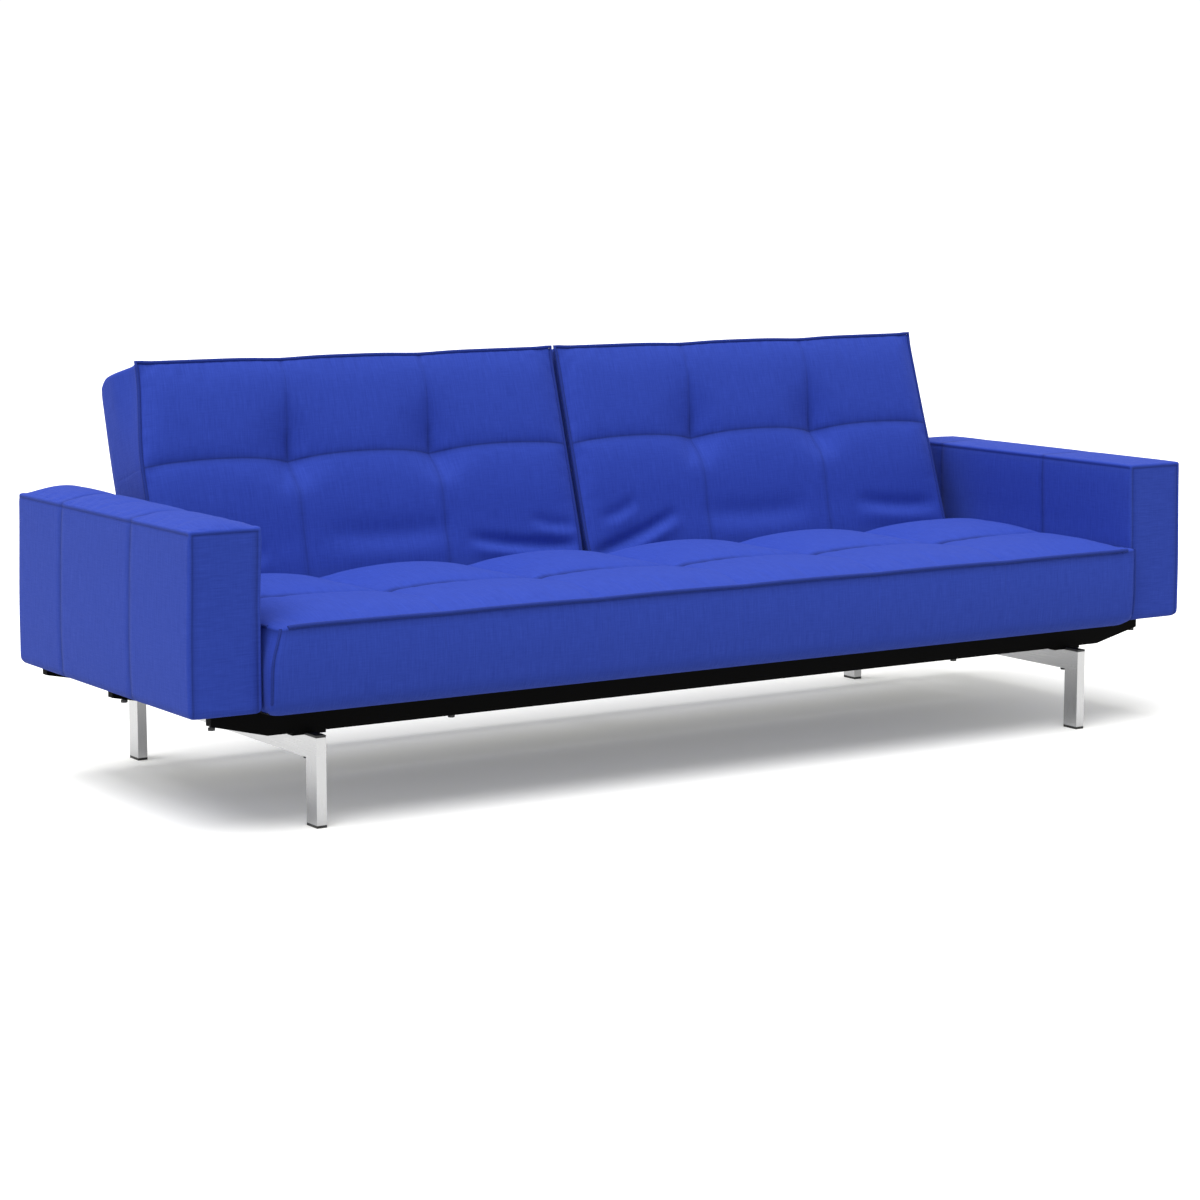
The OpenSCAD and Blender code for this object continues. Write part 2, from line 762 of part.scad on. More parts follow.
inner_hinge_arm(-1);  // left_inner_hinge_arm
outer_hinge_arm(1);  // right_outer_hinge_arm
inner_hinge_arm(1);  // right_inner_hinge_arm
hinge_arm_bolts(-1);  // left_hinge_arm_bolts
hinge_arm_bolts(1);  // right_hinge_arm_bolts
pivot_nut(-1);  // left_pivot_nut
pivot_nut(1);  // right_pivot_nut
centre_pivot_pin();
pawl(-1);  // left_pawl
pawl(1);  // right_pawl
pawl_spring(-1);  // left_pawl_spring
pawl_spring(1);  // right_pawl_spring
back_rest_pads();
arm_frame(-1);  // left_arm_frame
arm_foam(-1);  // left_arm_foam
arm_cover(-1);  // left_arm_cover
arm_frame(1);  // right_arm_frame
arm_foam(1);  // right_arm_foam
arm_cover(1);  // right_arm_cover
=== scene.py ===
"""Split-back sofa bed: tufted cushions, padded arms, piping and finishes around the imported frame."""
import json
import math

import bmesh
import bpy
import numpy as np
from mathutils import Matrix, Vector


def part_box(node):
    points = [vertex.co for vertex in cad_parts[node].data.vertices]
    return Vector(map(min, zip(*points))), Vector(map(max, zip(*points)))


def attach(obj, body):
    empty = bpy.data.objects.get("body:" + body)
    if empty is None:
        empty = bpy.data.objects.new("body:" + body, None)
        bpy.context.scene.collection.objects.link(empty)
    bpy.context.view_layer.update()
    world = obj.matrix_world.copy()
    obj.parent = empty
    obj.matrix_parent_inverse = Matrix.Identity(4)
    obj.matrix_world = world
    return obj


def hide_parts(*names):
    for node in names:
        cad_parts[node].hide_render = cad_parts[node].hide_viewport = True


bl_info = {
    "name": "Split-back sofa bed",
    "version": (1, 0, 0),
    "blender": (4, 5, 0),
    "location": "View3D > Sidebar > Sofa bed",
    "description": "Builds the upholstery and finishes of a split-back sofa bed around its frame",
    "category": "Add Mesh",
}

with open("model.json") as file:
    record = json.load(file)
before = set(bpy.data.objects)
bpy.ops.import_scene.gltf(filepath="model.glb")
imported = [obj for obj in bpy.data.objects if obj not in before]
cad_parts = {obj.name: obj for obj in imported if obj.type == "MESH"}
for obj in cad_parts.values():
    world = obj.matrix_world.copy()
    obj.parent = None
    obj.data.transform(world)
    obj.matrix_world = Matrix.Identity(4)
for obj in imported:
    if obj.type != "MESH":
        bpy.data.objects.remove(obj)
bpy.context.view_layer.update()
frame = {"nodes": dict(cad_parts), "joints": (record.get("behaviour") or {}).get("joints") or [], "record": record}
SIDES = ("left", "right")
OUTWARDS = {"left": -1, "right": 1}

# How near a point must be to a side of its box to be on it, and the width of the painted shadow along a sewn line
NEAR = 1e-5
SEAM_SHADE_WIDTH = 0.0022

# The hinge line and the backs' turn from lying flat to sitting, as the frame has them
RECLINE = next(j for j in frame["joints"] if j["name"] == "left_back_recline")
HINGE = Vector(RECLINE["pos_m"])
SITTING_TURN = math.radians(RECLINE["range_deg"][1])
TO_SITTING = Matrix.Translation(HINGE) @ Matrix.Rotation(SITTING_TURN, 4, "X") @ Matrix.Translation(-HINGE)


# ---------------------------------------------------------------- settings

def length(name, text, value):
    """A length that a user may change, in metres."""
    return bpy.props.FloatProperty(name=name, description=text, default=value, min=0, unit="LENGTH")


def colour(name, text, value):
    """A colour that a user may change."""
    return bpy.props.FloatVectorProperty(name=name, description=text, default=value, size=3, min=0, max=1,
                                         subtype="COLOR")


class SofaSeat(bpy.types.PropertyGroup):
    """Sizes of the seat cushion"""

    panels: bpy.props.IntProperty(name="Panels", description="Tufted panels across", default=6, min=2)
    pitch: length("Pitch", "Width of a tufted panel", 0.331)
    row: length("Front row", "Depth of the front row of panels", 0.236)
    crown: length("Crown", "Height of the padding over the piped edge", 0.034)
    puff: length("Puff", "How far a panel may swell", 0.007)


class SofaBack(bpy.types.PropertyGroup):
    """Sizes of the two back cushions"""

    seam: length("Cross seam", "Distance of the cross seam below the top edge", 0.207)
    inner: length("Inner seam", "Distance of the inner upright seam from the sofa's middle", 0.325)
    outer: length("Outer seam", "Distance of the outer upright seam from the sofa's middle", 0.645)
    tuft: length("Tuft", "How deep a tuft is pulled in", 0.024)
    puff: length("Puff", "How far a panel may swell", 0.0045)


class SofaArms(bpy.types.PropertyGroup):
    """Sizes of the two arms"""

    front_seam: length("Front seam", "Distance of the front seam behind the arm's front", 0.242)
    rear_seam: length("Rear seam", "Distance of the rear seam behind the arm's front", 0.55)
    crown: length("Crown", "Height of the padding on top of the arm", 0.012)
    fold: length("Fold", "Distance of the sewn line inside the arm's edges", 0.008)


class SofaCloth(bpy.types.PropertyGroup):
    """Colours and piping of the upholstery"""

    face: colour("Cloth", "Colour of the woven cloth", (0.0272, 0.0600, 0.395))
    shade: colour("Cloth, dark thread", "Colour of the cloth's darker thread", (0.0200, 0.0450, 0.316))
    piping: length("Piping", "Radius of the piping", 0.0038)
    cell: length("Mesh", "Size of the mesh's cells on the cushions", 0.011)


# ---------------------------------------------------------------- meshes

def grid_box(low, high, places, cell, turned=()):
    """A box of quads, cut at places along each axis and then into cells, with a UV map in metres."""
    bm = bmesh.new()
    bmesh.ops.create_cube(bm, size=1)
    bmesh.ops.scale(bm, vec=high - low, verts=bm.verts)
    bmesh.ops.translate(bm, vec=(low + high) / 2, verts=bm.verts)
    for axis in range(3):
        normal = Vector([float(i == axis) for i in range(3)])
        for place in places[axis]:
            everything = bm.verts[:] + bm.edges[:] + bm.faces[:]
            bmesh.ops.bisect_plane(bm, geom=everything, dist=1e-7, plane_co=normal * place, plane_no=normal)
    for axis in range(3):
        stops = sorted({round(v.co[axis], 6) for v in bm.verts})
        for start, stop in zip(stops, stops[1:]):
            cuts = math.ceil((stop - start) / cell - 0.01) - 1
            if cuts > 0:
                edges = spanning_edges(bm, axis, start, stop)
                bmesh.ops.subdivide_edges(bm, edges=edges, cuts=cuts, use_grid_fill=True)
    lay_uv(bm, turned)
    return bm


def spanning_edges(bm, axis, start, stop):
    """The edges that run along an axis from start to stop."""
    near = 2e-6
    found = []
    for edge in bm.edges:
        a, b = sorted(v.co[axis] for v in edge.verts)
        if abs(a - start) < near and abs(b - stop) < near:
            found.append(edge)
    return found


def lay_uv(bm, turned):
    """Lays the cloth on each side of a box, in metres, with its warp upright.

    The cloth is turned on the sides that face the axes in turned. Each axis has its own part of the cloth.
    """
    shift = (0.37, 0.53)
    layer = bm.loops.layers.uv.new("cloth")
    for face in bm.faces:
        normal = face.normal
        axis = max(range(3), key=lambda i: abs(normal[i]))
        across, along = ((1, 2), (0, 2), (0, 1))[axis][::-1 if axis in turned else 1]
        for loop in face.loops:
            co = loop.vert.co
            loop[layer].uv = (co[across] + axis * shift[0], co[along] + axis * shift[1])


def mesh_object(name, bm):
    """Makes an object of a bmesh, shaded smooth, and links it."""
    mesh = bpy.data.meshes.new(name)
    bm.to_mesh(mesh)
    bm.free()
    mesh.shade_smooth()
    made = bpy.data.objects.new(name, mesh)
    bpy.context.scene.collection.objects.link(made)
    return made


def read_points(mesh):
    """The mesh's points as an array."""
    points = np.empty(len(mesh.vertices) * 3, np.float32)
    mesh.vertices.foreach_get("co", points)
    return points.reshape(-1, 3).astype(float)


def write_points(mesh, points):
    """Puts the points back into the mesh."""
    mesh.vertices.foreach_set("co", points.astype(np.float32).ravel())
    mesh.update()


def set_attribute(mesh, name, values):
    """Stores one number at each point, for a material to read."""
    layer = mesh.attributes.new(name, "FLOAT", "POINT")
    layer.data.foreach_set("value", np.asarray(values, np.float32))


def sides_of(grid, low, high):
    """Which of a box's points are on its low and on its high side, along each axis."""
    return [[np.abs(grid[:, axis] - corner[axis]) < NEAR for corner in (low, high)] for axis in range(3)]


def round_edge(points, i, j, low, high, ends, radius):
    """Rounds one long edge of a box; ends says which end of axes i and j it is at, as -1 or 1."""
    corner = [high[k] if end > 0 else low[k] for k, end in zip((i, j), ends)]
    a = (points[:, i] - corner[0]) * ends[0] + radius
    b = (points[:, j] - corner[1]) * ends[1] + radius
    near = (a > 0) & (b > 0)
    shrink = np.maximum(a[near], b[near]) / np.hypot(a[near], b[near])
    points[near, i] = corner[0] + ends[0] * (a[near] * shrink - radius)
    points[near, j] = corner[1] + ends[1] * (b[near] * shrink - radius)


def bump(distance, width):
    """A soft bump: 1 at no distance, and falling away over a width."""
    return np.exp(-(distance / width) ** 2)


def ease(value):
    """A smooth step from 0 to 1."""
    value = np.clip(value, 0, 1)
    return value * value * (3 - 2 * value)


def nearest(values, places):
    """The distance from each value to the nearest of the places."""
    return np.min([np.abs(values - place) for place in places], axis=0)


def arc(distance, half):
    """A padded panel's rise from its seam, from 0 at the seam to 1 at its middle."""
    return 1 - (1 - np.clip(distance / half, 0, 1)) ** 2


def profile(values, knots):
    """A height along a line, from pairs of place and height, with its corners eased."""
    places, heights = zip(*knots)
    reach = 0.012
    return sum(np.interp(values + shift, places, heights) for shift in (-reach, 0, reach)) / 3


def pinch(points, corner, pull, width):
    """Draws a corner outwards, as piping does where it turns."""
    near = bump(np.linalg.norm(points - np.array(corner), axis=1), width)
    points += near[:, None] * np.array(pull)


def seam_cuts(places, beside=0.002):
    """Cuts at a seam and close beside it on both sides."""
    return [place + shift for place in places for shift in (-beside, 0, beside)]


# ---------------------------------------------------------------- padding

def swell(made, start, hold, pressure, travel):
    """Swells a cushion as cloth under pressure, by no more than travel.

    hold is 1 where it's sewn down and 0 where it's free.
    """
    frames = 20
    write_points(made.data, start)
    group = made.vertex_groups.new(name="sewn")
    for weight in np.unique(np.round(hold, 2)):
        if weight > 0:
            group.add(np.flatnonzero(np.round(hold, 2) == weight).tolist(), float(weight), "REPLACE")
    cloth = made.modifiers.new("cloth", "CLOTH")
    settings = cloth.settings
    settings.quality = 5
    settings.mass = 0.35
    settings.tension_stiffness = 12
    settings.compression_stiffness = 6
    settings.shear_stiffness = 4
    settings.bending_stiffness = 0.15
    settings.use_pressure = True
    settings.uniform_pressure_force = pressure
    settings.vertex_group_mass = "sewn"
    settings.pin_stiffness = 1
    settings.effector_weights.gravity = 0
    settings.shrink_min = -0.012
    cloth.point_cache.frame_start = 1
    cloth.point_cache.frame_end = frames
    scene = bpy.context.scene
    for number in range(1, frames + 1):
        scene.frame_set(number)
    swollen = made.evaluated_get(bpy.context.evaluated_depsgraph_get())
    moved = read_points(swollen.data) - start
    made.modifiers.remove(cloth)
    made.vertex_groups.remove(group)
    scene.frame_set(1)
    size = np.linalg.norm(moved, axis=1, keepdims=True)
    limit = travel * np.tanh(size / travel)
    still = 1e-9
    return start + moved * np.where(size > still, limit / np.maximum(size, still), 0)


def add_subdivision(made):
    """Smooths a piece with one subdivision."""
    smooth = made.modifiers.new("smooth", "SUBSURF")
    smooth.levels = 1
    smooth.render_levels = 1


def piping_run(name, points, radius, body):
    """A round cord in cloth, through a list of points, with closed ends."""
    curve = bpy.data.curves.new(name, "CURVE")
    curve.dimensions = "3D"
    curve.bevel_depth = radius
    curve.bevel_resolution = 3
    curve.use_fill_caps = True
    spline = curve.splines.new("POLY")
    spline.points.add(len(points) - 1)
    for point, place in zip(spline.points, points):
        point.co = (*place, 1)
    rod = bpy.data.objects.new(name + "_line", curve)
    bpy.context.scene.collection.objects.link(rod)
    bpy.context.view_layer.update()
    mesh = bpy.data.meshes.new_from_object(rod.evaluated_get(bpy.context.evaluated_depsgraph_get()))
    bpy.data.objects.remove(rod)
    mesh.shade_smooth()
    made = bpy.data.objects.new(name, mesh)
    bpy.context.scene.collection.objects.link(made)
    made.data.materials.append(finish("piping"))
    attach(made, body)
    return made


def edge_line(grid, points, fixed, along, shift):
    """The cushion's points along one edge of its box, in order, smoothed and shifted a little."""
    here = np.all([np.abs(grid[:, axis] - place) < NEAR for axis, place in fixed.items()], axis=0)
    found = np.flatnonzero(here)
    found = found[np.argsort(grid[found, along])]
    line = points[found].copy()
    for _ in range(3):
        line[1:-1] = (line[:-2] + 2 * line[1:-1] + line[2:]) / 4
    return line + np.array(shift)


def upholstered(made, body, *nodes, fill):
    """Gives a padded piece the upholstery, attaches it to what it moves with, and hides the frame parts it stands
    for.
    """
    made.data.materials.append(finish("upholstery"))
    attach(made, body)
    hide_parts(*nodes)


# ---------------------------------------------------------------- materials

FINISHES = {}


def finish(slot):
    """The material of a slot, made when it's first asked for."""
    if slot not in FINISHES:
        FINISHES[slot] = MAKERS[slot](slot)
    return FINISHES[slot]


class Nodes:
    """Short ways to add and join shader nodes in one tree."""

    def __init__(self, tree):
        self.tree = tree

    def add(self, kind, inputs=(), **settings):
        """Adds a node, sets it up, and joins or sets its inputs."""
        node = self.tree.nodes.new(kind)
        for name, value in settings.items():
            setattr(node, name, value)
        self.feed(node, dict(inputs))
        return node

    def feed(self, node, inputs):
        """Joins or sets a node's inputs."""
        for name, value in inputs.items():
            if isinstance(value, bpy.types.NodeSocket):
                self.tree.links.new(value, node.inputs[name])
            else:
                node.inputs[name].default_value = value

    def math(self, operation, a, b=0.0):
        """One step of arithmetic."""
        return self.add("ShaderNodeMath", {0: a, 1: b}, operation=operation).outputs[0]

    def total(self, *shares):
        """The sum of values, each times its share."""
        parts = [self.math("MULTIPLY", value, share) for value, share in shares]
        added = parts[0]
        for part in parts[1:]:
            added = self.math("ADD", added, part)
        return added

    def noise(self, place, scale, detail=2.0, rough=0.5):
        """Noise at a place, from 0 to 1."""
        inputs = {"Vector": place, "Scale": scale, "Detail": detail, "Roughness": rough}
        return self.add("ShaderNodeTexNoise", inputs).outputs["Fac"]

    def stretched(self, place, x, y, z=1.0):
        """The place, scaled on each axis."""
        return self.add("ShaderNodeMapping", {"Vector": place, "Scale": (x, y, z)}).outputs[0]

    def between(self, value, low, high, to_low, to_high):
        """A value brought from one range to another, and kept within it."""
        inputs = {"Value": value, "From Min": low, "From Max": high, "To Min": to_low, "To Max": to_high}
        return self.add("ShaderNodeMapRange", inputs).outputs[0]

    def mix(self, share, a, b, way="MIX"):
        """Two colours mixed."""
        inputs = {"Factor": share, 6: a, 7: b}
        return self.add("ShaderNodeMix", inputs, data_type="RGBA", blend_type=way).outputs[2]

    def object_place(self):
        """The place on the object, in metres."""
        return self.add("ShaderNodeTexCoord").outputs["Object"]

    def grain(self, scale):
        """The outputs of the fine grain."""
        inputs = {"Place": self.object_place(), "Scale": scale}
        return self.add("ShaderNodeGroup", inputs, node_tree=grain_group()).outputs

    def relief(self, shader, height, strength, distance):
        """Gives a shader fine relief."""
        inputs = {"Strength": strength, "Distance": distance, "Height": height}
        self.feed(shader, {"Normal": self.add("ShaderNodeBump", inputs).outputs[0]})


def new_group(name, inputs, outputs):
    """A shader node group with named inputs and outputs."""
    tree = bpy.data.node_groups.new(name, "ShaderNodeTree")
    for label, kind, value in inputs:
        socket = tree.interface.new_socket(name=label, in_out="INPUT", socket_type=kind)
        if value is not None:
            socket.default_value = value
    for label, kind in outputs:
        tree.interface.new_socket(name=label, in_out="OUTPUT", socket_type=kind)
    nodes = Nodes(tree)
    return tree, nodes, nodes.add("NodeGroupInput").outputs, nodes.add("NodeGroupOutput")


def weave_group():
    """Plain weave with slubbed threads, in metres on the cloth's own map."""
    if "Plain weave" in bpy.data.node_groups:
        return bpy.data.node_groups["Plain weave"]
    tree, nodes, given, out = new_group(
        "Plain weave",
        [("Cloth map", "NodeSocketVector", None), ("Thread", "NodeSocketFloat", 0.0011)],
        [("Shade", "NodeSocketFloat"), ("Height", "NodeSocketFloat")])
    inputs = {0: given["Cloth map"], "Scale": nodes.math("DIVIDE", 1.0, given["Thread"])}
    place = nodes.add("ShaderNodeVectorMath", inputs, operation="SCALE").outputs[0]
    warp = nodes.noise(nodes.stretched(place, 0.5, 0.03), 1.0, 3.0, 0.6)
    weft = nodes.noise(nodes.stretched(place, 0.03, 0.6), 1.0, 3.0, 0.6)
    warp_long = nodes.noise(nodes.stretched(place, 0.34, 0.012), 1.0, 1.0)
    split = nodes.add("ShaderNodeSeparateXYZ", {0: place}).outputs
    across, along = [nodes.math("SINE", nodes.math("MULTIPLY", split[i], math.pi)) for i in range(2)]
    over = nodes.math("ABSOLUTE", nodes.math("MULTIPLY", across, along))
    threads = nodes.total((over, 0.5), (nodes.math("ADD", warp, weft), 0.5))
    streaks = nodes.total((warp, 0.46), (weft, 0.36), (warp_long, 0.18))
    nodes.feed(out, {"Shade": nodes.between(streaks, 0.36, 0.64, 0.0, 1.0), "Height": threads})
    return tree


def grain_group():
    """Fine directionless grain for paint and plastic, on the object's own place."""
    if "Fine grain" in bpy.data.node_groups:
        return bpy.data.node_groups["Fine grain"]
    tree, nodes, given, out = new_group(
        "Fine grain",
        [("Place", "NodeSocketVector", None), ("Scale", "NodeSocketFloat", 900.0)],
        [("Height", "NodeSocketFloat"), ("Patches", "NodeSocketFloat")])
    nodes.feed(out, {"Height": nodes.noise(given["Place"], given["Scale"], 2.0),
                     "Patches": nodes.noise(given["Place"], 9.0, 3.0)})
    return tree


def new_material(name):
    """A material with its Principled shader, and a helper for its nodes."""
    made = bpy.data.materials.new(name)
    made.use_nodes = True
    return made, Nodes(made.node_tree), made.node_tree.nodes["Principled BSDF"]


def cloth_material(slot):
    """Royal blue plain weave with a soft sheen, with painted shade in its sewn seams and on the piping."""
    settings = bpy.context.scene.sofa_cloth
    on_piping = slot == "piping"
    made, nodes, shader = new_material("Royal blue piping" if on_piping else "Royal blue weave")
    place = nodes.object_place() if on_piping else nodes.add("ShaderNodeUVMap", uv_map="cloth").outputs[0]
    weave = nodes.add("ShaderNodeGroup", {"Cloth map": place}, node_tree=weave_group()).outputs
    # The piping's cloth is darkened to 0.62 of the weave: painted shade.
    tone = 0.62 if on_piping else 1
    dark, light = [(*[tone * part for part in thread], 1) for thread in (settings.shade, settings.face)]
    base = nodes.mix(weave["Shade"], dark, light)
    if not on_piping:
        # The seam attribute paints shade into the sewn lines, down to half the cloth's colour.
        seam = nodes.add("ShaderNodeAttribute", attribute_name="seam").outputs["Fac"]
        base = nodes.mix(1.0, base, nodes.between(seam, 0.0, 1.0, 0.5, 1.0), "MULTIPLY")
    nodes.feed(shader, {
        "Base Color": base,
        "Roughness": nodes.between(weave["Shade"], 0, 1, 0.86, 0.72),
        "Sheen Weight": 0.08,
        "Sheen Roughness": 0.45,
        "Sheen Tint": (0.5, 0.6, 1, 1),
        "Specular IOR Level": 0.13})
    nodes.relief(shader, weave["Height"], 0.35, 0.0006)
    return made


def paint_material(slot):
    """Powder coat: satin, with a fine orange peel."""
    name, tone, rough, shine = {
        "black_steel": ("Powder coat, black", 0.003, 0.55, 0.02),
        "frame_tube": ("Powder coat, graphite", 0.02, 0.5, 0.1)}[slot]
    made, nodes, shader = new_material(name)
    grain = nodes.grain(700.0)
    worn = (tone * 1.5, tone * 1.45, tone * 1.4, 1)
    nodes.feed(shader, {
        "Base Color": nodes.mix(grain["Patches"], (tone, tone, tone, 1), worn),
        "Roughness": nodes.between(grain["Patches"], 0.3, 0.7, rough - 0.05, rough + 0.07),
        "Specular IOR Level": shine})
    nodes.relief(shader, grain["Height"], 0.12, 0.0003)
    return made


def plastic_material(slot):
    """Black moulded plastic or rubber, dull and finely grained."""
    name, rough = {"black_plastic": ("Black plastic", 0.45), "rubber": ("Black rubber", 0.7)}[slot]
    made, nodes, shader = new_material(name)
    grain = nodes.grain(1400.0)
    nodes.feed(shader, {
        "Base Color": nodes.mix(grain["Patches"], (0.006, 0.006, 0.0065, 1), (0.011, 0.011, 0.011, 1)),
        "Roughness": nodes.between(grain["Height"], 0.3, 0.7, rough, rough + 0.15)})
    nodes.relief(shader, grain["Height"], 0.25, 0.0002)
    return made


def steel_material(slot):
    """Brushed or plated steel; the brushing runs up the leg posts, and along the bars above them."""
    name, tone, rough = {
        "leg_steel": ("Brushed steel", 0.5, 0.3),
        "zinc_steel": ("Black zinc plate", 0.045, 0.4),
        "hardened_steel": ("Blackened steel", 0.13, 0.4)}[slot]
    bar_bottom = 0.125
    across, along = 900, 12
    made, nodes, shader = new_material(name)
    place = nodes.object_place()
    upright = nodes.noise(nodes.stretched(place, across, across, along), 1.0, 3.0, 0.6)
    lying = nodes.noise(nodes.stretched(place, across, along, across), 1.0, 3.0, 0.6)
    position = nodes.add("ShaderNodeNewGeometry").outputs["Position"]
    height = nodes.add("ShaderNodeSeparateXYZ", {0: position}).outputs[2]
    on_bar = nodes.between(height, bar_bottom - 0.001, bar_bottom + 0.001, 0.0, 1.0)
    inputs = {"Factor": on_bar, 2: upright, 3: lying}
    brushed = nodes.add("ShaderNodeMix", inputs, data_type="FLOAT").outputs[0]
    dull, bright = (tone * 0.9, tone * 0.9, tone * 0.91, 1), (tone, tone, tone * 1.01, 1)
    nodes.feed(shader, {
        "Base Color": nodes.mix(brushed, dull, bright),
        "Roughness": nodes.between(brushed, 0.3, 0.7, rough - 0.06, rough + 0.09),
        "Metallic": 1.0})
    nodes.relief(shader, brushed, 0.06, 0.0002)
    return made


def wood_material(slot):
    """Beech ply or raw board, with long grain."""
    name, stretch = {
        "slat_wood": ("Beech ply", (14, 1.2, 60)),
        "board_wood": ("Raw board", (30, 3, 30))}[slot]
    made, nodes, shader = new_material(name)
    grain = nodes.noise(nodes.stretched(nodes.object_place(), *stretch), 3.0, 5.0, 0.6)
    light, dark = (0.40, 0.265, 0.145, 1), (0.28, 0.165, 0.08, 1)
    nodes.feed(shader, {
        "Base Color": nodes.mix(nodes.between(grain, 0.35, 0.65, 0, 1), dark, light),
        "Roughness": nodes.between(grain, 0.3, 0.7, 0.55, 0.4)})
    nodes.relief(shader, grain, 0.15, 0.0005)
    return made


def foam_material(_slot):
    """Cream foam with open cells."""
    made, nodes, shader = new_material("Cream foam")
    inputs = {"Vector": nodes.object_place(), "Scale": 420.0}
    cells = nodes.add("ShaderNodeTexVoronoi", inputs).outputs["Distance"]
    nodes.feed(shader, {
        "Base Color": nodes.mix(cells, (0.32, 0.29, 0.21, 1), (0.52, 0.49, 0.39, 1)),
        "Roughness": 0.9})
    nodes.relief(shader, cells, 0.4, 0.001)
    return made


MAKERS = {
    "upholstery": cloth_material, "piping": cloth_material, "black_steel": paint_material,
    "frame_tube": paint_material, "black_plastic": plastic_material, "rubber": plastic_material,
    "leg_steel": steel_material, "zinc_steel": steel_material, "hardened_steel": steel_material,
    "slat_wood": wood_material, "board_wood": wood_material, "foam": foam_material}


# ---------------------------------------------------------------- seat

# How far the piped edge is in front of the CAD cover's rear, and below its highest point
SEAT_REAR = 0.001
SEAT_CROWN = 0.0225
# How the piping draws the front corners: the left one in, the right one out
SEAT_CORNERS = {"left": (0.013, 0.001, -0.003), "right": (0.004, -0.002, 0.003)}


class SOFA_OT_seat(bpy.types.Operator):
    """Makes the wide tufted seat cushion and its piping"""

    bl_idname = "sofa.seat"
    bl_label = "Seat cushion"

    def execute(self, context):
        settings, cloth = context.scene.sofa_seat, context.scene.sofa_cloth
        low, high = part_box("seat_cover")
        high = Vector((high.x, high.y - SEAT_REAR, high.z - SEAT_CROWN))
        count = settings.panels - 1
        uprights = [settings.pitch * (i - (count - 1) / 2) for i in range(count)]
        cross = low.y + settings.row
        under = high.z - cloth.piping * 1.4
        places = (seam_cuts(uprights), seam_cuts([cross]), seam_cuts([under])[:2])
        made = mesh_object("seat_cushion", grid_box(low, high, places, cloth.cell * 1.08))
        grid = read_points(made.data)
        points = self.outline(grid, low, high)
        x, y, z = grid.T
        on_top = sides_of(grid, low, high)[2][1]
        height, seam = self.top(x, y, low, high, uprights, cross, settings.crown)
        points[:, 2] += np.where(on_top, height - settings.puff * 0.5 * np.clip(height / 0.01, 0, 1), 0)
        for side in SIDES:
            pinch(points, (OUTWARDS[side] * high.x, low.y, high.z), SEAT_CORNERS[side], 0.032)
        hold = self.sewn(grid, low, high, uprights, cross)
        points = swell(made, points, hold, pressure=3.2, travel=settings.puff)
        write_points(made.data, points)
        # The seam attribute holds the top's painted shade, and a line of painted shade under the piping round the
        # sides.
        set_attribute(made.data, "seam", np.where(on_top, seam, 1 - 0.6 * bump(z - under, 0.0025)))
        add_subdivision(made)
        upholstered(made, "base", "seat_cover", "seat_core", fill=0.9)
        self.pipe(grid, points, low, high, cloth.piping)
        return {"FINISHED"}

    def outline(self, grid, low, high):
        """The box with rounded edges, a leaning rear, a full front and ends, and its left end drawn in."""
        points = grid.copy()
        for ends, radius in (((-1, -1), 0.03), ((1, -1), 0.016)):
            round_edge(points, 1, 2, low, high, ends, radius)
        for end in (-1, 1):
            round_edge(points, 0, 1, low, high, (end, -1), 0.010)
            round_edge(points, 0, 1, low, high, (end, 1), 0.02)
            round_edge(points, 0, 2, low, high, (end, -1), 0.022)
        rear = high.y - (high.z - points[:, 2]) * math.tan(math.pi / 2 - SITTING_TURN)
        points[:, 1] = low.y + (points[:, 1] - low.y) * (rear - low.y) / (high.y - low.y)
        x, _, z = grid.T
        (on_left, on_right), (on_front, _), _ = sides_of(grid, low, high)
        belly = np.sin(math.pi * np.clip((z - low.z) / (high.z - low.z), 0, 1))
        points[:, 1] -= np.where(on_front, 0.006 * belly, 0)
        points[:, 0] += np.where(on_left | on_right, 0.0015 * belly * np.sign(x), 0)
        drawn_in, across, down = 0.008, 0.12, 0.09
        left_end = ease((-x - high.x + across) / across) * ease((z - high.z + down) / down)
        points[:, 0] += drawn_in * left_end
        return points

    def top(self, x, y, low, high, uprights, cross, crown):
        """The padding's height over the piped edge, and its painted shade: 1, and less on a sewn line."""
        aside = nearest(x, uprights)
        rise = arc(aside, 0.165)
        sewn_line = profile(y, (
            (low.y, 0), (low.y + 0.03, 0.27), (low.y + 0.09, 0.54),
            (cross, 0.46), (cross + 0.1, 0.32),
            (high.y - 0.05, 0.33), (high.y, -0.1)))
        middle = profile(y, (
            (low.y, 0), (low.y + 0.03, 0.44), (low.y + 0.09, 0.68),
            (cross - 0.03, 0.72), (cross, 0.66), (cross + 0.02, 0.80), (cross + 0.08, 0.98),
            (cross + 0.18, 1.0), (high.y - 0.05, 0.80), (high.y, -0.15)))
        height = crown * (sewn_line + rise * (middle - sewn_line))
        behind = ease((y - cross) / 0.02)
        upright = bump(aside, 0.006) * np.maximum(0.4 * behind, 0.8 * bump(y - cross, 0.05))
        lengthwise = bump(y - cross, 0.0045) - 0.5 * bump(y - cross - 0.014, 0.012)
        tuft = 0.12 * bump(aside, 0.02) * bump(y - cross, 0.02)
        height -= crown * (0.05 * upright + 0.13 * lengthwise + tuft)
        height *= arc(high.x - np.abs(x), 0.12)
        height += 0.0016 * (rise - 0.6) * bump(y - low.y, 0.03) * arc(high.x - np.abs(x), 0.1)
        # Painted shade on the sewn lines: on the upright seams, and along the lengthwise seam, strongest on the
        # left of each panel.
        near = bump(aside, SEAM_SHADE_WIDTH) * np.maximum(0.25 * behind, 0.5 * bump(y - cross, 0.05))
        along = np.mod((x - uprights[0]) / (uprights[1] - uprights[0]), 1)
        drawn = 1 - 0.75 * ease((along - 0.35) / 0.3)
        return height, 1 - np.maximum(near, drawn * bump(y - cross - 0.001, 0.003))

